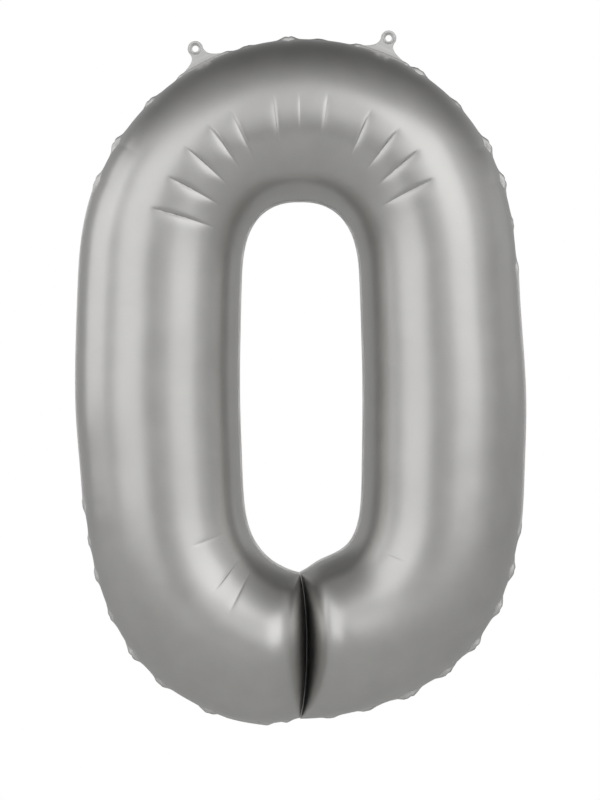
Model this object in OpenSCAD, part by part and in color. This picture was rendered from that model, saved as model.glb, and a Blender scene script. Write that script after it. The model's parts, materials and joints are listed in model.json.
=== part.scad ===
// Foil number balloon, digit 0, inflated.
// Two films are sealed along a margin round the outside and round the hole of the digit.
// A seal across the bottom closes the ring, so the gas space is one bent tube with two ends.
// Millimetres. +Z is up, -Y is the front, and the sealed margins lie in the plane y = 0.
// The origin is on the line through the two hanging holes, at the digit's centre plane.

/* [Digit] */
// Height of the inflated digit over its margins, without the tabs
body_h = 860; // [700:10:1100]
// Width of the inflated digit over its margins
body_w = 566; // [470:2:700]
// Depth of the inflated digit, which is the diameter of its tube
tube_d = 198; // [140:2:240]
// Thickness of one film as drawn, which is thicker than the real film
film_t = 0.8; // [0.6:0.05:1.2]
// Width of the sealed margin that stands out from the tube
margin_w = 4; // [3:0.5:8]
// Width of the seal across the bottom of the digit
closing_w = 7; // [4:0.5:12]

/* [Hanging tabs] */
// Angle of the left tab from the top of the digit
left_tab_at = 26; // [15:0.5:40]
// Distance from the digit's edge to the left hanging hole
left_tab_reach = 17; // [15:0.5:30]
// Angle of the right tab from the top of the digit
right_tab_at = 21.5; // [15:0.5:40]
// Distance from the digit's edge to the right hanging hole
right_tab_reach = 21; // [15:0.5:30]
// Radius of the round head of a tab
tab_head_r = 9.5; // [7:0.5:14]
// Radius of the hanging hole punched through both films
tab_hole_r = 4; // [2:0.25:5]
// Width of a tab's neck
tab_neck_w = 16; // [12:0.5:18]
// Radius of the hollow curve at each side of a tab's root
tab_root_r = 12; // [6:0.5:13]

/* [Inlet and valve] */
// Angle of the inlet tail from the bottom of the digit, towards its left leg
inlet_at = 13; // [9:0.5:30]
// Width of the inlet tail
inlet_w = 40; // [36:1:60]
// Distance from the digit's edge to the fold of the inlet tail
inlet_root = 9; // [4:0.5:14]
// Length of the inlet tail from its fold to its open end
inlet_len = 45; // [30:1:60]
// Radius of the two corners at the open end of the tail
inlet_corner_r = 6; // [2:0.5:10]
// Angle from straight out that the tail is folded back behind the digit
inlet_fold = 100; // [90:1:102]
// Width of the two valve films
valve_w = 30; // [20:1:34]
// Length of the valve films that lies inside the digit's edge
valve_len = 110; // [60:5:140]
// Thickness of one valve film as drawn
valve_t = 0.4; // [0.3:0.05:0.5]

/* [Clearances] */
// Space left between a flap's fold line and the film it swings from
fold_clear = 0.4; // [0.3:0.05:1]
// Space left on each side of the valve films where they cross the margin
valve_clear = 0.5; // [0.2:0.1:2]

/* [Hidden] */
$fn = 96;

// A length that reaches past whatever it cuts
past = body_h + body_w;

// The tube: its radius, the radius of the arc that its centre follows, and its straight stretch
tube_r = tube_d / 2;
edge_r = body_w / 2;
centre_r = edge_r - margin_w - tube_r;
straight = body_h - body_w;

// A flap turns about a line this far outside the digit's edge, so that its corner stays clear
fold_out = film_t + fold_clear;

// Places of the hanging holes from the centre of the top arc, as [x, z]
left_hole = (edge_r + left_tab_reach) * [-sin(left_tab_at), cos(left_tab_at)];
right_hole = (edge_r + right_tab_reach) * [sin(right_tab_at), cos(right_tab_at)];

// Height of the hanging line over the centre of the top arc, at the digit's centre plane
hang_z = left_hole.y
    - left_hole.x * (right_hole.y - left_hole.y) / (right_hole.x - left_hole.x);

// Heights of the two arc centres over the origin
top_z = -hang_z;
bottom_z = top_z - straight;

film_colour = "dimgray";
seal_colour = "gray";
valve_colour = "gainsboro";

// Keeps the half of a flat section that stands off the seam plane
module upper_half() {
    intersection() {
        children();
        translate([-past, 0]) square([2 * past, past]);
    }
}

// Section of one film across the tube: half a ring with a flat margin on each side
module film_section() {
    upper_half() difference() {
        circle(tube_r);
        circle(tube_r - film_t);
    }
    for (side = [0, 1]) mirror([side, 0])
        translate([tube_r - film_t, 0]) square([film_t + margin_w, film_t]);
}

// Section of the gas space under one film
module gas_section() {
    upper_half() circle(tube_r);
}

// Section of the flat strip that the film had before it was inflated
module flat_section() {
    translate([-tube_r - margin_w, 0]) square([2 * (tube_r + margin_w), film_t]);
}

// Carries a section round a half circle in the digit's plane, its height towards the front
module round_arc(from_angle) {
    rotate([90, 0, 0]) rotate([0, 0, from_angle])
        rotate_extrude(angle = 180) translate([centre_r, 0]) children();
}

// Carries a section down both straight legs
module down_legs() {
    for (side = [-1, 1])
        translate([side * centre_r, 0, bottom_z])
            linear_extrude(height = straight) mirror([0, 1]) children();
}

// A slab across the whole digit between two distances from its centre plane
module slab(from_x, to_x) {
    translate([from_x, -past / 2, -past]) cube([to_x - from_x, past, 2 * past]);
}

// One film of the digit, on the front side of the seam plane
module film_panel() {
    translate([0, 0, top_z]) round_arc(0) film_section();
    down_legs() film_section();
    translate([0, 0, bottom_z]) {
        difference() {
            round_arc(180) film_section();
            slab(-closing_w / 2, closing_w / 2);
        }
        // The films come down to the seal across the bottom as two end walls
        for (side = [0, 1]) mirror([side, 0, 0]) intersection() {
            round_arc(180) gas_section();
            slab(closing_w / 2, closing_w / 2 + film_t);
        }
        intersection() {
            round_arc(180) flat_section();
            slab(-closing_w / 2 - film_t, closing_w / 2 + film_t);
        }
    }
    inlet_tongue();
}

// Puts a piece at the inlet: its X runs along the fold, its +Y straight out of the digit and its
// +Z to the rear
module at_inlet(out = 0) {
    translate([0, 0, bottom_z]) rotate([0, 180 + inlet_at, 0])
        translate([0, 0, edge_r + out]) rotate([90, 0, 180]) children();
}

// The flat root of the inlet in one film, from the margin out to the fold of the tail
module inlet_tongue() {
    at_inlet() translate([-inlet_w / 2, -margin_w, -film_t])
        cube([inlet_w, margin_w + inlet_root - fold_out, film_t]);
}

// The shallow space that the valve film takes up under one film, from the edge inwards
module valve_pocket() {
    at_inlet() translate([-valve_w / 2 - valve_clear, -valve_len, -valve_t])
        cube([valve_w + 2 * valve_clear, valve_len + inlet_root, 2 * valve_t]);
}

// Flat outline of a hanging tab: +Y is outwards and y = 0 is its fold line
module tab_outline(reach) {
    root_half = tab_neck_w / 2 + tab_root_r;
    difference() {
        union() {
            translate([0, reach - fold_out]) circle(tab_head_r);
            translate([-tab_neck_w / 2, 0]) square([tab_neck_w, reach - fold_out]);
            difference() {
                translate([-root_half, 0]) square([2 * root_half, tab_root_r]);
                for (side = [-1, 1])
                    translate([side * root_half, tab_root_r]) circle(tab_root_r);
            }
        }
        translate([0, reach - fold_out]) circle(tab_hole_r);
    }
}

// One ply of a hanging tab at an angle from the top, on the front side or the rear side
module tab_ply(angle, reach, rear) {
    mirror([0, rear ? 1 : 0, 0])
        translate([0, 0, top_z]) rotate([0, angle, 0])
            translate([0, 0, edge_r + fold_out]) rotate([90, 0, 0])
                linear_extrude(height = film_t) tab_outline(reach);
}

// Flat outline of the inlet tail: y = 0 is its fold line, and its open end has round corners
module tail_outline() {
    r = inlet_corner_r;
    translate([-inlet_w / 2, 0]) square([inlet_w, inlet_len - r]);
    translate([-inlet_w / 2 + r, 0]) square([inlet_w - 2 * r, inlet_len]);
    for (side = [-1, 1])
        translate([side * (inlet_w / 2 - r), inlet_len - r]) circle(r);
}

// One ply of the inlet tail, folded back behind the digit
module tail_ply(rear) {
    at_inlet(inlet_root) rotate([inlet_fold, 0, 0])
        translate([0, 0, rear ? 0 : -film_t]) linear_extrude(height = film_t) tail_outline();
}

// One valve film, from just inside the fold of the tail up into the gas space
module valve_film(rear) {
    at_inlet() translate([-valve_w / 2, -valve_len, rear ? 0 : -valve_t])
        cube([valve_w, valve_len + inlet_root - fold_out, valve_t]);
}

module front_panel() {
    color(film_colour) difference() {
        film_panel();
        valve_pocket();
    }
}

module rear_panel() {
    color(film_colour) difference() {
        mirror([0, 1, 0]) film_panel();
        valve_pocket();
    }
}

module left_tab_front_ply() {
    color(seal_colour) tab_ply(-left_tab_at, left_tab_reach, false);
}

module left_tab_rear_ply() {
    color(seal_colour) tab_ply(-left_tab_at, left_tab_reach, true);
}

module right_tab_front_ply() {
    color(seal_colour) tab_ply(right_tab_at, right_tab_reach, false);
}

module right_tab_rear_ply() {
    color(seal_colour) tab_ply(right_tab_at, right_tab_reach, true);
}

module inlet_tail_front_ply() {
    color(seal_colour) tail_ply(false);
}

module inlet_tail_rear_ply() {
    color(seal_colour) tail_ply(true);
}

module valve_front_film() {
    color(valve_colour) valve_film(false);
}

module valve_rear_film() {
    color(valve_colour) valve_film(true);
}

front_panel();
rear_panel();
left_tab_front_ply();
left_tab_rear_ply();
right_tab_front_ply();
right_tab_rear_ply();
inlet_tail_front_ply();
inlet_tail_rear_ply();
valve_front_film();
valve_rear_film();
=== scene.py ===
import json
import math

import bpy
import numpy as np
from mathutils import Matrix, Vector


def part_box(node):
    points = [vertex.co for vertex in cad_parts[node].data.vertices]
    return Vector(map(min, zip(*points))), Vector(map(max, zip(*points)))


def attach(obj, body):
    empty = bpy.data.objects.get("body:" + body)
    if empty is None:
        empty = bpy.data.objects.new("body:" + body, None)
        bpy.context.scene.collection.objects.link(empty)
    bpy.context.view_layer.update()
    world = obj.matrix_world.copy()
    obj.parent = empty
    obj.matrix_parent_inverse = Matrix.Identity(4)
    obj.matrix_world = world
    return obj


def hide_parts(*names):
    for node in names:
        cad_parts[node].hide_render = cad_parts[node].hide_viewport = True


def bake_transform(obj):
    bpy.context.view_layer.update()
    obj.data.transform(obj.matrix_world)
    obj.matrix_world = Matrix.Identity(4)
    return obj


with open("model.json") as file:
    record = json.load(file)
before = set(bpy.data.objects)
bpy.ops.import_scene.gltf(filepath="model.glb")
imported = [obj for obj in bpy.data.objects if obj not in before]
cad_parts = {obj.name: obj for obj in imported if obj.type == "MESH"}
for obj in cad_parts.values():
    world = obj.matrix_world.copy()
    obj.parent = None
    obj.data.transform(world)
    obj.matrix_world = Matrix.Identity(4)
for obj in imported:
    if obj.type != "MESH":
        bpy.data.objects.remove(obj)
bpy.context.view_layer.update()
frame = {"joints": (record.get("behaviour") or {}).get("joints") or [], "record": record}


# ---------------------------------------------------------------- front film
# The front film is one die-cut sheet of metallised nylon in the shape of the digit.
# Gas draws it into half a tube; it is heat sealed to the rear film along a narrow margin round
# the outside and round the hole, and along a short web that closes the ring at the bottom.

film_low, film_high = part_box("front_panel")
tube_depth = -film_low.y
edge_radius = film_high.x
film_thickness = 0.00025
margin_width = 0.0034
tube_half_width = 0.1005
ring_radius = edge_radius - margin_width - tube_half_width
joints = {joint["name"]: joint for joint in frame["joints"]}
mounts = {mount["name"]: mount for mount in frame["record"]["mounts"]}

# The bottom arc's centre is where the line at right angles to the inlet's fold meets x = 0
inlet_joint = joints["inlet_tail_fold"]
fold_x, fold_z = inlet_joint["pos_m"][0], inlet_joint["pos_m"][2]
bottom_centre_z = fold_z + fold_x * inlet_joint["axis"][0] / inlet_joint["axis"][2]
top_centre_z = film_high.z - edge_radius
leg_length = top_centre_z - bottom_centre_z


def bell(x, centre, width):
    """A smooth bump of height 1: e to the minus square of the distance over the width."""
    return np.exp(-((x - centre) / width) ** 2)


def rise(x, centre, width):
    """A smooth step from 0 to 1: half of one plus the hyperbolic tangent."""
    return 0.5 * (1 + np.tanh((x - centre) / width))


def centre_line(samples=6001):
    """The line that the tube follows, from the seal at the bottom, up the left leg, over the top
    and down the right leg. Its curvature is one over the ring's radius on the arcs and nothing on
    the legs, with soft changes between them; its heading is the sum of the curvature, its place
    the sum of the heading, and the whole is scaled to the ring's own width and height."""
    quarter = ring_radius * math.pi / 2
    changes = np.cumsum([quarter, leg_length, 2 * quarter, leg_length])
    length = changes[-1] + quarter
    s = np.linspace(0, length, samples)
    soft = 0.03
    bent = 1 - rise(s, changes[0], soft) + rise(s, changes[1], soft)
    bent += rise(s, changes[3], soft) - rise(s, changes[2], soft)
    step = s[1]
    heading = np.concatenate([[0], np.cumsum((bent[1:] + bent[:-1]) / 2) * step])
    heading *= 2 * math.pi / heading[-1]
    across, up = -np.cos(heading), np.sin(heading)
    x = np.concatenate([[0], np.cumsum((across[1:] + across[:-1]) / 2) * step])
    z = np.concatenate([[0], np.cumsum((up[1:] + up[:-1]) / 2) * step])
    x = (x - x[-1] * s / length) * ring_radius / np.abs(x).max()
    z = z - z[-1] * s / length
    z = z * (2 * ring_radius + leg_length) / (z.max() - z.min())
    z += bottom_centre_z - ring_radius - z.min()
    return s, x, z, heading


line_s, line_x, line_z, line_heading = centre_line()
line_length = line_s[-1]


def place_of_turn(degrees):
    """Distance along the tube at which it has turned by this much since the bottom."""
    return np.interp(np.radians(degrees), line_heading, line_s)


# Where the outer seam gathers into a small ear, as a turn in degrees round from the bottom, and
# the ear's size beside a usual one. Most are about ten degrees apart.
puckers = [
    (4, 0.9), (23, 1.2), (37, 1.1), (47, 1.3), (58, 0.9), (69, 0.9), (78, 0.7), (86, 0.9),
    (112, 1.1), (123, 1.2), (137, 0.9), (166, 0.5), (177, 1.1), (185, 0.5),
    (195, 0.6), (212, 1.1), (225, 0.7), (238, 1.3), (248, 1.2), (259, 0.6), (268, 0.6),
    (279, 0.8), (289, 1.2), (299, 1.3), (310, 1.3), (320, 1.3), (331, 1.6), (342, 1.0),
    (352, 0.7)]
pucker_turns, pucker_size = np.array(puckers).T
pucker_places = place_of_turn(pucker_turns)


def turn_of(point):
    """Turn at which a point of the seam lies, round from the bottom, in degrees."""
    centre = top_centre_z if point[2] > top_centre_z else bottom_centre_z
    return math.degrees(math.atan2(-point[0], centre - point[2])) % 360


# The tabs hold the margin flat and straight out where they leave it, this far to each side, and
# at the inlet tail the margin stands out by a share and turns back with the tail
tab_places = place_of_turn([turn_of(joints[f"{side}_tab_bend"]["pos_m"])
                            for side in ("left", "right")])
tab_reach = 0.022
inlet_place = place_of_turn(turn_of(joints["inlet_tail_fold"]["pos_m"]))
inlet_reach = 0.026
inlet_spread = 0.36

# How far past the centres of the two arcs the margin still stands out, on each leg
left_past_top, right_past_top = 0.068, -0.004
left_past_bottom, right_past_bottom = 0.008, 0.030
leg_fade = 0.006

# Half-width of an ear, what its size adds to that, how squarely it ends, and how far it stands
# out for its size
ear_half_width, ear_growth, ear_squareness, ear_spread = 0.0030, 0.0035, 2.6, 0.75

# Where the hold of a tab and of the inlet on the margin ends, and over how much it fades, as
# shares of its reach
tab_hold, tab_hold_fade, inlet_hold, inlet_hold_fade = 1.05, 0.12, 1.0, 0.1


def from_seal(s):
    """Distance along the tube from the seal at the bottom, whichever side is nearer."""
    return np.minimum(s, line_length - s)


def through(x, points):
    """A smooth curve through the points given: cubic pieces, and at each point the slope of the
    line that joins its two neighbours."""
    at, value = np.array(points).T
    slope = np.gradient(value, at)
    i = np.clip(np.searchsorted(at, x) - 1, 0, len(at) - 2)
    wide = at[i + 1] - at[i]
    t = (x - at[i]) / wide
    ends = value[i] * (1 + 2 * t) * (1 - t) ** 2 + value[i + 1] * t ** 2 * (3 - 2 * t)
    return ends + wide * (slope[i] * t * (1 - t) ** 2 - slope[i + 1] * t ** 2 * (1 - t))


# How far the two seams lie from the centre line, in mm at a distance in mm from the bottom seal,
# up each side to the top. Each has a point at the seal, at the top, and between them only where
# the tube is fuller or more drawn in.
left_outer = [(0, 98), (25, 106), (100, 112), (250, 92), (400, 100), (620, 96), (860, 102)]
right_outer = [(0, 99), (50, 99), (155, 108), (260, 100), (400, 102), (590, 93), (730, 103),
               (860, 102)]
left_inner = [(0, 82), (80, 90), (240, 104), (420, 101), (620, 103), (750, 98), (860, 100)]
right_inner = [(0, 83), (40, 92), (150, 92), (250, 98), (420, 98), (610, 102), (760, 98),
               (860, 100)]


def seam_offsets(s):
    """How far the outer and the inner seam lie from the centre line, each side from its list."""
    near = from_seal(s) * 1000
    on_left = s < line_length / 2
    outer = np.where(on_left, through(near, left_outer), through(near, right_outer))
    inner = np.where(on_left, through(near, left_inner), through(near, right_inner))
    return outer / 1000, inner / 1000


def margin_spread(s):
    """How much the outer margin stands straight out, from 0 to 1, and how much it is drawn out
    into an ear. It stands out along the legs, at the flaps and at each ear, and elsewhere it is
    turned back behind the tube."""
    x = np.interp(s, line_s, line_x)
    z = np.interp(s, line_s, line_z)
    above = np.where(x < 0, top_centre_z + left_past_top, top_centre_z + right_past_top)
    below = np.where(x < 0, bottom_centre_z - left_past_bottom,
                     bottom_centre_z - right_past_bottom)
    on_leg = rise(z, below, leg_fade) * (1 - rise(z, above, leg_fade))
    gap = np.abs(s[:, None] - pucker_places[None, :])
    half = ear_half_width + ear_growth * pucker_size
    ears = (np.exp(-(gap / half) ** ear_squareness) * pucker_size).max(1)
    reach = np.abs(s[:, None] - tab_places[None, :]) / tab_reach
    tabs = (1 - rise(reach, tab_hold, tab_hold_fade)).max(1)
    folded = 1 - rise(np.abs(s - inlet_place) / inlet_reach, inlet_hold, inlet_hold_fade)
    ears *= 1 - folded
    spread = np.maximum(np.maximum(on_leg, tabs), np.clip(ear_spread * ears, 0, 1))
    spread = np.maximum(spread, inlet_spread * folded)
    return np.clip(spread, 0, 1), ears


# Widths of a crease's two sides, the powers of its depth from its outer to its inner end, and
# the height of that curve's own peak
gentle_side, steep_side = 0.0050, 0.0015
outer_power, inner_power, power_peak = 0.8, 1.8, 0.201


def fold_lines(s, angle, folds):
    """Depth of the sharp radial creases in the film. Each is a valley across the tube at one
    turn: gentle on the side towards the nearer leg and steep on the other, deepest a little way
    from its outer end and fading towards its inner end."""
    turn = np.degrees(np.interp(s, line_s, line_heading))
    depth = np.zeros((len(s), len(angle)))
    for turn_at, lean, outer_end, inner_end, deep in folds:
        middle = (outer_end + inner_end) / 2
        swing = lean * (angle - middle)
        away = (turn[:, None] - turn_at - swing[None, :]) * math.pi / 180 * ring_radius
        leg_turn = 90 if turn_at < 180 else 270
        to_leg = away if leg_turn > turn_at else -away
        valley = np.where(to_leg > 0, np.exp(-to_leg / gentle_side), np.exp(to_leg / steep_side))
        share = np.clip((angle - outer_end) / (inner_end - outer_end), 0, 1)
        window = share ** outer_power * (1 - share) ** inner_power / power_peak
        depth += deep * valley * window[None, :]
    return depth


def gathers(s, angle):
    """Depth of the short puckers that run in from each ear of the outer seam: valleys that are
    sharp at the seam, and spread and fade out as they climb the tube."""
    depth = np.zeros((len(s), len(angle)))
    width_at_seam, growth, growth_angle = 0.0022, 0.010, 0.6
    fade_angle, deepest = 0.5, 0.0016
    spread = width_at_seam + growth * angle / growth_angle
    fade = np.exp(-(angle / fade_angle) ** 2)
    for place, size in zip(pucker_places, pucker_size):
        away = np.abs(s - place)[:, None]
        depth += deepest * size * fade[None, :] * np.exp(-away / spread[None, :])
    return depth


# Near the seal the tube swells a little, its two faces part by a small gap, and they bow to one
# side by a part that is the same all over and a part that grows with each film's height
swell_height, swell_at, swell_width = 0.006, 0.045, 0.07
face_gap, gap_reach = 0.0005, 0.03
bow_all, front_bow, rear_bow, bow_reach = 0.0085, 0.0020, -0.012, 0.05
crest_inset = 0.001


def seam_to_seam(s, full, angle, side, folds):
    """The film across the tube: half an ellipse from the outer seam, over the crest, to the inner
    seam. Near the seal its height shrinks by the share full, so the tube ends in a blunt face,
    and both faces lean the same way by a small bow, as two full bags press on each other."""
    x = np.interp(s, line_s, line_x)[:, None]
    z = np.interp(s, line_s, line_z)[:, None]
    heading = np.interp(s, line_s, line_heading)[:, None]
    out_x, out_z = -np.sin(heading), -np.cos(heading)
    outer, inner = (offset[:, None] for offset in seam_offsets(s))
    along, rising = np.cos(angle)[None, :], np.sin(angle)[None, :]
    dent = fold_lines(s, angle, folds) + gathers(s, angle)
    offset = (outer - inner) / 2 + ((outer + inner) / 2 - dent) * along
    near = from_seal(s)[:, None]
    swell = swell_height * bell(near, swell_at, swell_width)
    height = (tube_depth - crest_inset + swell - dent) * rising * full[:, None]
    to_left = np.where(s < line_length / 2, -1.0, 1.0)[:, None]
    reach = np.exp(-near / bow_reach) * rising ** 1.5
    gap = np.exp(-near / gap_reach) * face_gap
    bow = (bow_all + (front_bow if side > 0 else rear_bow) * full[:, None]) * reach
    points = np.empty((len(s), len(angle), 3))
    points[..., 0] = x + out_x * offset + to_left * gap + bow
    points[..., 1] = -side * height
    points[..., 2] = z + out_z * offset
    return points


# Length over which each end of the tube rounds down to the seal, and how blunt each face is
left_blunt, right_blunt = 2.9, 2.6
left_shoulder, right_shoulder = 0.060, 0.075

# Spacing of the rows along the tube: in plain film, on a crease and on a pucker, and how far
# round a crease or a pucker the rows stay close
plain_step, crease_step, pucker_step, close_reach = 0.006, 0.0012, 0.0045, 0.006


def stations():
    """Places along the tube at which the film is worked out, and the share of its full height
    there. They are closer at each crease and pucker than elsewhere. At each end the share is one
    minus the cube of the distance left to the shoulder's end, to the power of one over its
    bluntness, so a nearly upright face turns into a long soft shoulder."""
    end = np.linspace(0, 1, 36) ** 3
    rounded = 1 - (1 - end) ** 3
    fine = np.linspace(left_shoulder, line_length - right_shoulder, 40001)
    density = np.full(fine.shape, 1 / plain_step)
    for place in place_of_turn(np.array([fold[0] for fold in front_folds + rear_folds])):
        density += bell(fine, place, close_reach) / crease_step
    for place in pucker_places:
        density += bell(fine, place, close_reach) / pucker_step
    between = (density[1:] + density[:-1]) / 2
    count = np.concatenate([[0], np.cumsum(between) * (fine[1] - fine[0])])
    middle = np.interp(np.linspace(0, count[-1], int(count[-1])), count, fine)[1:-1]
    s = np.concatenate([left_shoulder * end, middle, line_length - right_shoulder * end[::-1]])
    full = np.concatenate([rounded ** (1 / left_blunt), np.ones(len(middle)),
                           rounded[::-1] ** (1 / right_blunt)])
    return s, full


# Each crease: turn from the bottom, lean in degrees a radian, outer and inner end as angles over
# the tube from the outer seam, and depth
front_folds = [
    (110, 2, 1.40, 2.30, 0.0030),
    (123, 3, 1.45, 2.20, 0.0030),
    (135, 2, 1.40, 2.15, 0.0028),
    (146, 1, 1.40, 2.05, 0.0026),
    (155, 0, 1.40, 2.10, 0.0018),
    (170, -2, 1.35, 2.10, 0.0014),
    (180, 0, 1.35, 1.85, 0.0008),
    (190, 1, 1.35, 1.95, 0.0013),
    (206, 1, 1.40, 2.05, 0.0020),
    (217, -1, 1.40, 2.05, 0.0026),
    (227, -2, 1.40, 2.10, 0.0028),
    (238, -3, 1.45, 2.20, 0.0028),
    (66, -3, 1.90, 2.45, 0.0007),
    (45, 5, 1.90, 2.50, 0.0008),
    (34, 4, 1.85, 2.50, 0.0008),
    (301, 6, 1.90, 2.35, 0.0007),
]
rear_folds = [
    (106, 4, 1.40, 2.25, 0.0024),
    (119, 4, 1.40, 2.20, 0.0029),
    (134, 3, 1.42, 2.15, 0.0028),
    (149, 2, 1.42, 2.05, 0.0023),
    (164, -1, 1.38, 2.05, 0.0015),
    (177, 0, 1.36, 2.00, 0.0010),
    (193, 1, 1.38, 2.10, 0.0016),
    (207, -2, 1.40, 2.15, 0.0024),
    (219, -3, 1.42, 2.20, 0.0029),
    (231, -4, 1.42, 2.25, 0.0028),
    (247, -5, 1.44, 2.30, 0.0022),
    (66, -4, 1.88, 2.42, 0.0008),
    (44, 6, 1.86, 2.48, 0.0009),
    (309, 5, 1.88, 2.45, 0.0008),
]


# How far back the margin swings where it lies behind the tube, how far off its middle each film
# lies in film thicknesses, and what an ear adds to its width; how much of a sealed film's look
# the web has; and the inner margin's width, how far it stands out and how that waves
margin_swing = math.radians(78)
margin_parting = 1.6
ear_width, ear_width_power = 0.0022, 1.5
web_seal_share = 0.2
inner_margin_width = 0.0026
inner_spread, inner_wave, inner_wave_rate = 0.86, 0.14, 90


def margin_strip(s, seam, outwards, side, width, spread):
    """The sealed margin outside a seam: a narrow strip that leaves the seam straight out where
    spread is 1 and swings back to the rear where it is 0, with this film on its own face."""
    swing = (1 - spread) * margin_swing
    share = np.array([0.34, 0.67, 1.0])
    direction = np.stack([
        outwards[:, 0] * np.cos(swing), np.sin(swing), outwards[:, 1] * np.cos(swing)], -1)
    face = np.stack([
        outwards[:, 0] * np.sin(swing), -np.cos(swing), outwards[:, 1] * np.sin(swing)], -1)
    strip = seam[:, None, :] + direction[:, None, :] * (width[:, None] * share)[..., None]
    return strip + side * face[:, None, :] * film_thickness * margin_parting


def film_grid(side, folds):
    """The whole film as a closed band of rows: outer margin, tube from seam to seam, inner margin.
    The seal across the bottom is a row of short steps between the tube's two ends."""
    s, full = stations()
    angle = np.linspace(0, math.pi, 67)
    tube = seam_to_seam(s, full, angle, side, folds)
    heading = np.interp(s, line_s, line_heading)
    outwards = np.stack([-np.sin(heading), -np.cos(heading)], -1)
    spread, ears = margin_spread(s)
    wide = margin_width + ear_width * ears ** ear_width_power
    outer = margin_strip(s, tube[:, 0], outwards, side, wide, spread)
    narrow = np.full(len(s), inner_margin_width)
    waves = inner_spread + inner_wave * np.sin(s * inner_wave_rate)
    inner = margin_strip(s, tube[:, -1], -outwards, side, narrow, waves)
    rows = np.concatenate([outer[:, ::-1], tube, inner], 1)
    share = np.linspace(0, 1, 5)[1:-1, None, None]
    web = rows[-1][None] * (1 - share) + rows[0][None] * share
    seal = np.zeros(rows.shape[:2])
    seal[:, :outer.shape[1]] = 1
    seal[:, -inner.shape[1]:] = 1
    web_seal = np.full(web.shape[:2], web_seal_share)
    return np.concatenate([rows, web], 0), np.concatenate([seal, web_seal], 0)


def grid_mesh(name, points, wraps, flip):
    """Joins a grid of points into four-sided faces, closing the last row onto the first if it
    wraps, and turning the faces over if they would point inwards."""
    rows, columns = points.shape[:2]
    index = np.arange(rows * columns).reshape(rows, columns)
    after = np.roll(index, -1, 0) if wraps else index[1:]
    before = index if wraps else index[:-1]
    faces = np.stack([before[:, :-1], before[:, 1:], after[:, 1:], after[:, :-1]], -1)
    faces = faces.reshape(-1, 4)
    if flip:
        faces = faces[:, ::-1]
    mesh = bpy.data.meshes.new(name)
    mesh.from_pydata(points.reshape(-1, 3).tolist(), [], faces.tolist())
    mesh.polygons.foreach_set("use_smooth", np.ones(len(faces), bool))
    mesh.update()
    return mesh


def film_piece(name, mesh, thickness, material):
    """Puts a film's mesh into the scene, gives it its thickness behind its face, keeps the
    corners at its seams crisp, and gives it its material."""
    piece = bpy.data.objects.new(name, mesh)
    bpy.context.scene.collection.objects.link(piece)
    mesh.set_sharp_from_angle(angle=math.radians(50))
    wall = piece.modifiers.new("thickness", "SOLIDIFY")
    wall.thickness = thickness
    wall.offset = -1
    mesh.materials.append(material)
    return piece


def crinkle_group():
    """Fine unevenness of stretched film: broad soft waves and a faint fine grain, added as one
    height, and a slow mottling from 0 to 1 for the finish."""
    group = bpy.data.node_groups.new("film_crinkle", "ShaderNodeTree")
    group.interface.new_socket("Waves", in_out="INPUT", socket_type="NodeSocketFloat")
    group.interface.new_socket("Grain", in_out="INPUT", socket_type="NodeSocketFloat")
    group.interface.new_socket("Height", in_out="OUTPUT", socket_type="NodeSocketFloat")
    group.interface.new_socket("Mottle", in_out="OUTPUT", socket_type="NodeSocketFloat")
    nodes, links = group.nodes, group.links
    entry, leave = nodes.new("NodeGroupInput"), nodes.new("NodeGroupOutput")
    place = nodes.new("ShaderNodeTexCoord")
    parts = []
    for scale, detail in ((9.0, 1.0), (420.0, 2.0), (26.0, 3.0)):
        noise = nodes.new("ShaderNodeTexNoise")
        noise.inputs["Scale"].default_value = scale
        noise.inputs["Detail"].default_value = detail
        links.new(place.outputs["Object"], noise.inputs["Vector"])
        parts.append(noise)
    waves, grain = nodes.new("ShaderNodeMath"), nodes.new("ShaderNodeMath")
    waves.operation = grain.operation = "MULTIPLY"
    links.new(parts[0].outputs["Fac"], waves.inputs[0])
    links.new(entry.outputs["Waves"], waves.inputs[1])
    links.new(parts[1].outputs["Fac"], grain.inputs[0])
    links.new(entry.outputs["Grain"], grain.inputs[1])
    total = nodes.new("ShaderNodeMath")
    total.operation = "ADD"
    links.new(waves.outputs[0], total.inputs[0])
    links.new(grain.outputs[0], total.inputs[1])
    links.new(total.outputs[0], leave.inputs["Height"])
    links.new(parts[2].outputs["Fac"], leave.inputs["Mottle"])
    return group


crinkle = crinkle_group()


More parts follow.
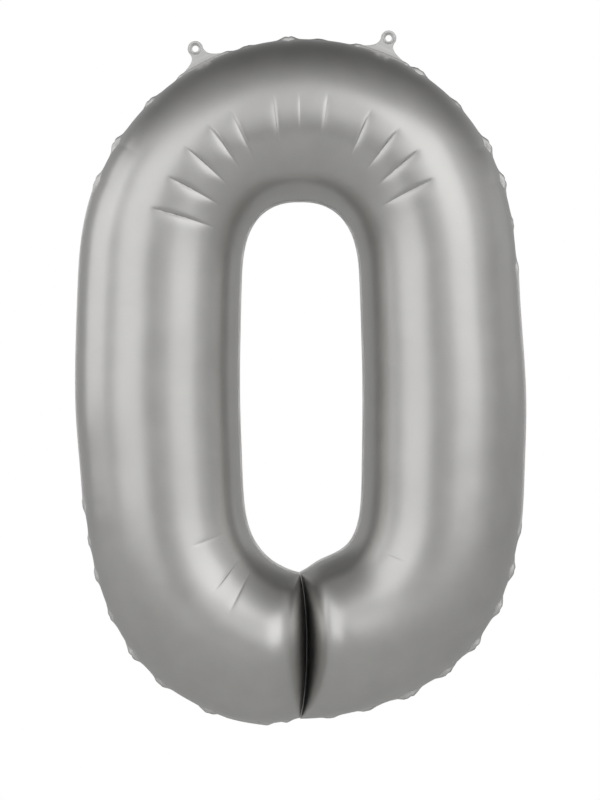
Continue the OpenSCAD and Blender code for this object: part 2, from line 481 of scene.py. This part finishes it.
def satin_material(name, film_colour, seal_colour, film_rough, seal_rough):
    """Satin metallised film: a metal with soft reflections, paler and flatter where the seal
    attribute says that the two films are heat sealed, with the crinkle's height and mottling."""
    material = bpy.data.materials.new(name)
    material.use_nodes = True
    nodes, links = material.node_tree.nodes, material.node_tree.links
    shader = nodes["Principled BSDF"]
    shader.inputs["Metallic"].default_value = 1.0
    seal = nodes.new("ShaderNodeAttribute")
    seal.attribute_name = "seal"
    colour = nodes.new("ShaderNodeMix")
    colour.data_type = "RGBA"
    colour.inputs["A"].default_value = (*film_colour, 1)
    colour.inputs["B"].default_value = (*seal_colour, 1)
    links.new(seal.outputs["Fac"], colour.inputs["Factor"])
    uneven = nodes.new("ShaderNodeGroup")
    uneven.node_tree = crinkle
    tint = nodes.new("ShaderNodeMapRange")
    tint.inputs["From Min"].default_value = 0.3
    tint.inputs["From Max"].default_value = 0.7
    tint.inputs["To Min"].default_value = 0.97
    tint.inputs["To Max"].default_value = 1.03
    links.new(uneven.outputs["Mottle"], tint.inputs["Value"])
    tinted = nodes.new("ShaderNodeVectorMath")
    tinted.operation = "SCALE"
    links.new(colour.outputs["Result"], tinted.inputs[0])
    links.new(tint.outputs["Result"], tinted.inputs["Scale"])
    links.new(tinted.outputs[0], shader.inputs["Base Color"])
    uneven.inputs["Waves"].default_value = 0.0012
    uneven.inputs["Grain"].default_value = 0.00001
    bump = nodes.new("ShaderNodeBump")
    bump.inputs["Strength"].default_value = 1.0
    bump.inputs["Distance"].default_value = 1.0
    links.new(uneven.outputs["Height"], bump.inputs["Height"])
    links.new(bump.outputs["Normal"], shader.inputs["Normal"])
    rough = nodes.new("ShaderNodeMapRange")
    rough.inputs["To Min"].default_value = film_rough - 0.03
    rough.inputs["To Max"].default_value = film_rough + 0.03
    links.new(uneven.outputs["Mottle"], rough.inputs["Value"])
    finish = nodes.new("ShaderNodeMix")
    finish.inputs["B"].default_value = seal_rough
    links.new(seal.outputs["Fac"], finish.inputs["Factor"])
    links.new(rough.outputs["Result"], finish.inputs["A"])
    links.new(finish.outputs["Result"], shader.inputs["Roughness"])
    return material


satin_film = satin_material(
    "satin_grey_film", (0.62, 0.615, 0.602), (0.73, 0.727, 0.715), 0.30, 0.50)


def digit_film(name, side, folds, node):
    """One film of the digit, with its seal attribute, riding on the digit."""
    points, seal = film_grid(side, folds)
    edges[name] = points[:len(stations()[0]), :3]
    mesh = grid_mesh(name, points, wraps=True, flip=side < 0)
    attribute = mesh.attributes.new("seal", "FLOAT", "POINT")
    attribute.data.foreach_set("value", seal.astype(np.float32).ravel())
    piece = film_piece(name, mesh, film_thickness, satin_film)
    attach(piece, "digit")
    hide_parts(node)


edges = {}
digit_film("front_film", 1, front_folds, "front_panel")


# ----------------------------------------------------------------- rear film
# The rear film is cut to the same outline as the front one and sealed to it face to face.
# It has creases of its own round the hole, and its margin lies behind the front film's.

digit_film("rear_film", -1, rear_folds, "rear_panel")


# -------------------------------------------------------------- hanging tabs
# Each hanging tab is an ear of both films, sealed together over its whole face and cut in one
# piece with them. It has a punched hole with a pressed ring round it, and bends at its root.

sealed_film = satin_material(
    "sealed_grey_film", (0.62, 0.615, 0.602), (0.73, 0.727, 0.715), 0.30, 0.50)
tab_head_radius, tab_neck_share = 0.0097, 0.93
tab_hole_radius = mounts["left_tab_hole"]["dims"]["r_mm"] / 1000
tab_root_half, tab_root_hollow = 0.0235, 2.7
tab_ring_radius, tab_ring_width, tab_ring_height = 0.0062, 0.0007, 0.0008
tab_sway, tab_sway_rate, tab_sway_fade = 0.0004, 300, 0.012
edge_s = stations()[0]

# A ply lies this far off the seam plane, in film thicknesses, and this much more on the margin,
# which reaches this far from the tab's root
tab_parting, tab_parting_over_margin, tab_root_overlap = 1.04, 1.7, 0.006


def edge_points(name, s, column=0):
    """Points of one film's outer margin at places along the tube: column 0 is its cut edge and
    column 1 lies between it and the seam."""
    return np.stack([np.interp(s, edge_s, edges[name][:, column, i]) for i in range(3)], -1)


def tab_grid(name, side, hole, root_s):
    """One ply of a tab, in the digit's own axes: rings round the hole out to the round head, and
    rows from the head's lower half down on to the film's margin, which grow wider towards the
    root in a hollow curve. The pressed ring is a smooth bump of height round the hole."""
    root = edge_points(name, root_s, 1)
    out = np.array([hole[0] - root[0], 0, hole[2] - root[2]])
    out /= np.linalg.norm(out)
    along = np.array([out[2], 0, -out[0]])
    columns, rows, rings, upper = 25, 15, 11, 34
    across = np.linspace(-1, 1, columns)
    half = tab_head_radius * tab_neck_share
    lower = np.arcsin(across * half / tab_head_radius)
    upper_turn = np.linspace(lower[-1], 2 * math.pi + lower[0], upper + 2)[1:-1]
    turn = np.concatenate([lower, upper_turn])
    radius = np.linspace(tab_hole_radius, tab_head_radius, rings)[:, None]
    ring_x, ring_v = radius * np.sin(turn), -radius * np.cos(turn)
    direction = 1 if along[0] > 0 else -1
    root_row = edge_points(name, root_s + direction * across * tab_root_half, 1) - hole
    root_x, root_v = root_row @ along, root_row @ out
    share = np.linspace(0, 1, rows + 1)[:-1, None]
    widen = half + (tab_root_half - half) * (1 - share) ** tab_root_hollow
    x = across * widen + (root_x - across * tab_root_half) * (1 - share) ** 3
    v = root_v * (1 - share) + ring_v[-1, :columns] * share
    flat_x = np.concatenate([ring_x.ravel(), x.ravel()])
    flat_v = np.concatenate([ring_v.ravel(), v.ravel()])
    away = np.hypot(flat_x, flat_v)
    ridge = tab_ring_height * bell(away, tab_ring_radius, tab_ring_width)
    sway = tab_sway * np.sin(flat_v * tab_sway_rate) * np.clip(1 + flat_v / tab_sway_fade, 0, 1)
    over_margin = 1 - rise(flat_v, tab_root_overlap - np.linalg.norm(hole - root), 0.001)
    parting = film_thickness * (tab_parting + tab_parting_over_margin * over_margin)
    lift = side * (parting + ridge) + sway
    points = hole + flat_x[:, None] * along + flat_v[:, None] * out
    points[:, 1] = -lift
    ring_index = np.arange(ring_x.size).reshape(ring_x.shape)
    row_index = ring_x.size + np.arange(x.size).reshape(x.shape)
    row_index = np.concatenate([row_index, ring_index[-1:, :columns]])
    wrapped = np.concatenate([ring_index, ring_index[:, :1]], 1)
    return points, [wrapped, row_index[:, ::-1]]


def index_faces(index):
    """Four-sided faces between neighbouring rows and columns of a grid of vertex numbers."""
    faces = np.stack([index[:-1, :-1], index[:-1, 1:], index[1:, 1:], index[1:, :-1]], -1)
    return faces.reshape(-1, 4)


def flap_mesh(name, points, grids, flip):
    """A mesh of one ply from its vertex grids, wholly sealed, with its faces turned outwards."""
    faces = np.concatenate([index_faces(index) for index in grids])
    if flip:
        faces = faces[:, ::-1]
    mesh = bpy.data.meshes.new(name)
    mesh.from_pydata(points.tolist(), [], faces.tolist())
    mesh.polygons.foreach_set("use_smooth", np.ones(len(faces), bool))
    attribute = mesh.attributes.new("seal", "FLOAT", "POINT")
    attribute.data.foreach_set("value", np.ones(len(points), np.float32))
    mesh.update()
    return mesh


def tab_ply(tab, film, side, place):
    """One ply of a tab, from the digit's margin across its root out to the tab's head."""
    hole = np.array(mounts[f"{tab}_hole"]["pos_m"])
    name = f"{tab}_{'front' if side > 0 else 'rear'}_film"
    points, grids = tab_grid(film, side, hole, place)
    piece = film_piece(name, flap_mesh(name, points, grids, side < 0), film_thickness, sealed_film)
    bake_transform(piece)
    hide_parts(f"{tab}_{'front' if side > 0 else 'rear'}_ply")


for tab, place in (("left_tab", tab_places[0]), ("right_tab", tab_places[1])):
    tab_ply(tab, "front_film", 1, place)
    tab_ply(tab, "rear_film", -1, place)


# ---------------------------------------------------------------- inlet tail
# The inlet tail is a tongue of both films, left open at its end, through which the digit is
# filled. It is sealed down both sides, and folded back flat behind the bottom edge.

tail_width, tail_length, tail_corner = 0.040, 0.045, 0.006
tail_bend_length, tail_root_length = 0.006, 0.004
tail_gape, tail_ripple, tail_ripple_rate, tail_ripple_lean = 0.0016, 0.0007, 210, 2.5
tail_fold = np.array(joints["inlet_tail_fold"]["pos_m"])
tail_way = np.array(mounts["inlet_mouth"]["pos_m"]) - tail_fold
tail_way /= np.linalg.norm(tail_way)


def tail_grid(name, side, root_s):
    """One ply of the tail: rows across it, carried along a line that leaves the film's cut edge
    as the margin lies there, turns smoothly to the tail's own direction, and runs to the open
    end. The plies part a little towards the mouth, and the last rows narrow round its corners."""
    root = edge_points(name, root_s)
    out = np.array([tail_fold[0], 0, tail_fold[2] - bottom_centre_z])
    out /= np.linalg.norm(out)
    along = np.array([-out[2], 0, out[0]])
    back = math.acos(float(np.dot(tail_way, out)))
    reach = np.linspace(0, 1, 31) ** 1.2 * tail_length
    share = np.clip(reach / tail_bend_length, 0, 1)
    first = margin_swing * (1 - inlet_spread)
    heading = first + (back - first) * share ** 2 * (3 - 2 * share)
    step = np.diff(reach)
    path_out = np.concatenate([[0], np.cumsum(np.cos(heading[1:]) * step)])
    path_back = np.concatenate([[0], np.cumsum(np.sin(heading[1:]) * step)])
    to_end = tail_length - reach
    corner = np.clip(1 - to_end / tail_corner, 0, 1)
    half = tail_width / 2 - tail_corner * (1 - np.sqrt(1 - corner ** 2))
    across = np.linspace(-1, 1, 21)
    direction = 1 if along[0] < 0 else -1
    root_row = edge_points(name, root_s + direction * across * tail_width / 2)
    start = root_row - root - (across * tail_width / 2)[:, None] * along
    fade = np.exp(-reach / tail_root_length)
    points = root + path_out[:, None, None] * out + fade[:, None, None] * start
    points = points + (half[:, None] * across)[..., None] * along
    points[..., 1] += path_back[:, None]
    parting = side * tail_gape * (reach / tail_length) ** 2
    crest = np.cos(across * math.pi / 2)
    phase = reach[:, None] * tail_ripple_rate + across * tail_ripple_lean
    ripple = tail_ripple * np.sin(phase) * (reach[:, None] / tail_length)
    away = np.array([out[0] * math.sin(back), -math.cos(back), out[2] * math.sin(back)])
    lift = -parting[:, None] * crest + ripple
    points += lift[..., None] * -away
    return points


for film, side in (("front_film", 1), ("rear_film", -1)):
    grid = tail_grid(film, side, inlet_place)
    index = np.arange(grid.shape[0] * grid.shape[1]).reshape(grid.shape[:2])
    name = f"inlet_tail_{film}"
    mesh = flap_mesh(name, grid.reshape(-1, 3), [index], side > 0)
    piece = film_piece(name, mesh, film_thickness, sealed_film)
    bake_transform(piece)
    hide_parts(f"inlet_tail_{film.replace('film', 'ply')}")


# --------------------------------------------------------------- valve films
# Two strips of thin clear plastic lie face to face in the inlet, bonded along both long sides.
# They run up into the digit, and the gas outside them presses them shut.

valve_thickness = 0.0001
valve_seam_gap, valve_parting = 0.0005, 0.6
valve_open_at, valve_open_over = 0.022, 0.006
valve_gape, valve_gape_change, valve_gape_rate = 0.0009, 0.4, 150
valve_wave, valve_wave_rate, valve_wave_lean = 0.0012, 95, 1.4
clear_plastic = bpy.data.materials.new("clear_valve_plastic")
clear_plastic.use_nodes = True
clear_nodes, clear_links = clear_plastic.node_tree.nodes, clear_plastic.node_tree.links
clear_shader = clear_nodes["Principled BSDF"]
clear_shader.inputs["Base Color"].default_value = (0.85, 0.87, 0.88, 1)
clear_shader.inputs["IOR"].default_value = 1.5
clear_shader.inputs["Alpha"].default_value = 0.4
clear_crinkle = clear_nodes.new("ShaderNodeGroup")
clear_crinkle.node_tree = crinkle
clear_crinkle.inputs["Waves"].default_value = 0.0004
clear_crinkle.inputs["Grain"].default_value = 0.00002
clear_bump = clear_nodes.new("ShaderNodeBump")
clear_bump.inputs["Distance"].default_value = 1.0
clear_rough = clear_nodes.new("ShaderNodeMapRange")
clear_rough.inputs["To Min"].default_value = 0.12
clear_rough.inputs["To Max"].default_value = 0.26
clear_links.new(clear_crinkle.outputs["Mottle"], clear_rough.inputs["Value"])
clear_links.new(clear_rough.outputs["Result"], clear_shader.inputs["Roughness"])
clear_links.new(clear_crinkle.outputs["Height"], clear_bump.inputs["Height"])
clear_links.new(clear_bump.outputs["Normal"], clear_shader.inputs["Normal"])


def valve_strip(name, node, side):
    """One valve film: a strip from the digit's seam up into the gas, flat near the seam, and
    parted from the other by a low ripple between its bonded sides above that."""
    low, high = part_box(node)
    inwards = np.array([-tail_fold[0], 0, bottom_centre_z - tail_fold[2]])
    inwards /= np.linalg.norm(inwards)
    along = np.array([inwards[2], 0, -inwards[0]])
    width = 0.030
    length = ((high.z - low.z) - width * abs(along[2])) / inwards[2]
    seam_radius = ring_radius + seam_offsets(np.array([inlet_place]))[0][0]
    first = math.dist(tail_fold, (0, 0, bottom_centre_z)) - seam_radius
    first += valve_seam_gap
    run = np.linspace(first, length, 48)[:, None]
    across = np.linspace(-1, 1, 17)[None, :]
    inside = rise(run, valve_open_at, valve_open_over)
    change = 1 + valve_gape_change * np.sin(run * valve_gape_rate)
    parted = valve_gape * inside * (1 - across ** 2) * change
    wave = valve_wave * inside * np.sin(run * valve_wave_rate + across * valve_wave_lean)
    points = tail_fold + run[..., None] * inwards + (across * width / 2)[..., None] * along
    points[..., 1] = wave - side * (valve_thickness * valve_parting + parted)
    index = np.arange(points.shape[0] * points.shape[1]).reshape(points.shape[:2])
    mesh = flap_mesh(name, points.reshape(-1, 3), [index], side < 0)
    piece = film_piece(name, mesh, valve_thickness, clear_plastic)
    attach(piece, "digit")
    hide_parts(node)


valve_strip("valve_front_strip", "valve_front_film", 1)
valve_strip("valve_rear_strip", "valve_rear_film", -1)


# -------------------------------------------------------------------- studio
# A pale floor below the hanging digit, a studio that is pale in front and dim overhead and
# behind, large soft lights in front and to the sides, and a level camera in front.

floor_mesh = bpy.data.meshes.new("floor")
floor_size, floor_drop = 3.0, 0.35
floor_z = film_low.z - floor_drop
corners = [(-1, -1), (1, -1), (1, 1), (-1, 1)]
floor_mesh.from_pydata([(x * floor_size, y * floor_size, floor_z) for x, y in corners], [],
                       [(0, 1, 2, 3)])
floor = bpy.data.objects.new("floor", floor_mesh)
bpy.context.scene.collection.objects.link(floor)
pale = bpy.data.materials.new("pale_floor")
pale.use_nodes = True
floor_nodes, floor_links = pale.node_tree.nodes, pale.node_tree.links
floor_shader = floor_nodes["Principled BSDF"]
floor_shader.inputs["Base Color"].default_value = (0.88, 0.88, 0.87, 1)
floor_shader.inputs["Roughness"].default_value = 0.9
floor_white = floor_nodes.new("ShaderNodeEmission")
floor_mix = floor_nodes.new("ShaderNodeMixShader")
floor_path = floor_nodes.new("ShaderNodeLightPath")
floor_links.new(floor_path.outputs["Is Camera Ray"], floor_mix.inputs["Fac"])
floor_links.new(floor_shader.outputs[0], floor_mix.inputs[1])
floor_links.new(floor_white.outputs[0], floor_mix.inputs[2])
floor_links.new(floor_mix.outputs[0], floor_nodes["Material Output"].inputs["Surface"])
floor_mesh.materials.append(pale)

world = bpy.data.worlds.new("studio")
bpy.context.scene.world = world
world.use_nodes = True
sky_nodes, sky_links = world.node_tree.nodes, world.node_tree.links
sky = sky_nodes["Background"]
sky_white = sky_nodes.new("ShaderNodeBackground")
sky_white.inputs["Color"].default_value = (1, 1, 1, 1)
sky_path = sky_nodes.new("ShaderNodeLightPath")
sky_mix = sky_nodes.new("ShaderNodeMixShader")
sky_place = sky_nodes.new("ShaderNodeTexCoord")
sky_split = sky_nodes.new("ShaderNodeSeparateXYZ")
sky_height = sky_nodes.new("ShaderNodeMapRange")
sky_height.inputs["From Min"].default_value = -1


def sky_half(levels):
    """Brightness of one half of the studio by height, from the floor at -1 to the ceiling."""
    ramp = sky_nodes.new("ShaderNodeValToRGB")
    stops = ramp.color_ramp.elements
    while len(stops) < len(levels):
        stops.new(0.5)
    for stop, (height, level) in zip(stops, levels):
        stop.position = (height + 1) / 2
        stop.color = (level, level, level, 1)
    sky_links.new(sky_height.outputs["Result"], ramp.inputs["Fac"])
    return ramp


# Pale near the floor, brightest a little above the horizon and dim overhead; darker behind
sky_front = sky_half([(-1, 0.35), (-0.3, 0.30), (0.3, 0.58), (0.7, 0.50), (1, 0.25)])
sky_back = sky_half([(-1, 0.40), (-0.2, 0.35), (0.3, 0.40), (0.6, 0.20), (1, 0.10)])
sky_side = sky_nodes.new("ShaderNodeMapRange")
sky_side.interpolation_type = "SMOOTHSTEP"
sky_side.inputs["From Min"].default_value = 0.6
sky_side.inputs["From Max"].default_value = -0.6
sky_both = sky_nodes.new("ShaderNodeMix")
sky_both.data_type = "RGBA"
sky_links.new(sky_place.outputs["Generated"], sky_split.inputs[0])
sky_links.new(sky_split.outputs["Z"], sky_height.inputs["Value"])
sky_links.new(sky_split.outputs["Y"], sky_side.inputs["Value"])
sky_links.new(sky_side.outputs["Result"], sky_both.inputs["Factor"])
sky_links.new(sky_back.outputs["Color"], sky_both.inputs["A"])
sky_links.new(sky_front.outputs["Color"], sky_both.inputs["B"])
sky_links.new(sky_both.outputs["Result"], sky.inputs["Color"])
sky_links.new(sky_path.outputs["Is Camera Ray"], sky_mix.inputs["Fac"])
sky_links.new(sky.outputs[0], sky_mix.inputs[1])
sky_links.new(sky_white.outputs[0], sky_mix.inputs[2])
sky_links.new(sky_mix.outputs[0], sky_nodes["World Output"].inputs["Surface"])

digit_centre = Vector((0, 0, (top_centre_z + bottom_centre_z) / 2))


def soft_light(name, azimuth, elevation, half_wide, half_high, radiance):
    """A soft square-cornered light that faces the digit's centre from a fixed distance, given by
    the angles at which it stands and the half-angles that it spans, in degrees. Its power is
    radiance times area times pi."""
    distance = 5.0
    light = bpy.data.lights.new(name, "AREA")
    light.shape = "RECTANGLE"
    light.size = 2 * distance * math.tan(math.radians(half_wide))
    light.size_y = 2 * distance * math.tan(math.radians(half_high))
    light.energy = radiance * light.size * light.size_y * math.pi
    holder = bpy.data.objects.new(name, light)
    a, e = math.radians(azimuth), math.radians(elevation)
    back = Vector((math.sin(a) * math.cos(e), -math.cos(a) * math.cos(e), math.sin(e)))
    holder.location = digit_centre + back * distance
    holder.rotation_euler = back.to_track_quat("Z", "Y").to_euler()
    holder.visible_camera = False
    bpy.context.scene.collection.objects.link(holder)


soft_light("left_softbox", -40, 15, 20, 22, 0.35)
soft_light("right_softbox", 35, 18, 18, 22, 0.55)
soft_light("left_bounce", -50, 15, 35, 30, 0.15)
soft_light("right_bounce", 40, 18, 32, 30, 0.12)
soft_light("front_fill", 0, 30, 18, 20, 0.12)
soft_light("front_glow", 8, 8, 10, 10, 0.15)
soft_light("left_side_light", -100, 15, 20, 20, 0.60)
soft_light("right_side_light", 115, 12, 18, 12, 0.10)
soft_light("left_low_light", -45, -5, 20, 10, 0.15)

camera_data = bpy.data.cameras.new("camera")
camera = bpy.data.objects.new("camera", camera_data)
bpy.context.scene.collection.objects.link(camera)
bpy.context.scene.camera = camera
camera_distance, view_height = 3.5, 1.006
camera_data.sensor_width = 36
camera_data.lens = camera_data.sensor_width * camera_distance / view_height
camera_drop = 0.025
camera.location = digit_centre + Vector((0, -camera_distance, -camera_drop))
camera.rotation_euler = (math.pi / 2, 0, 0)
bpy.context.scene.view_settings.view_transform = "Standard"
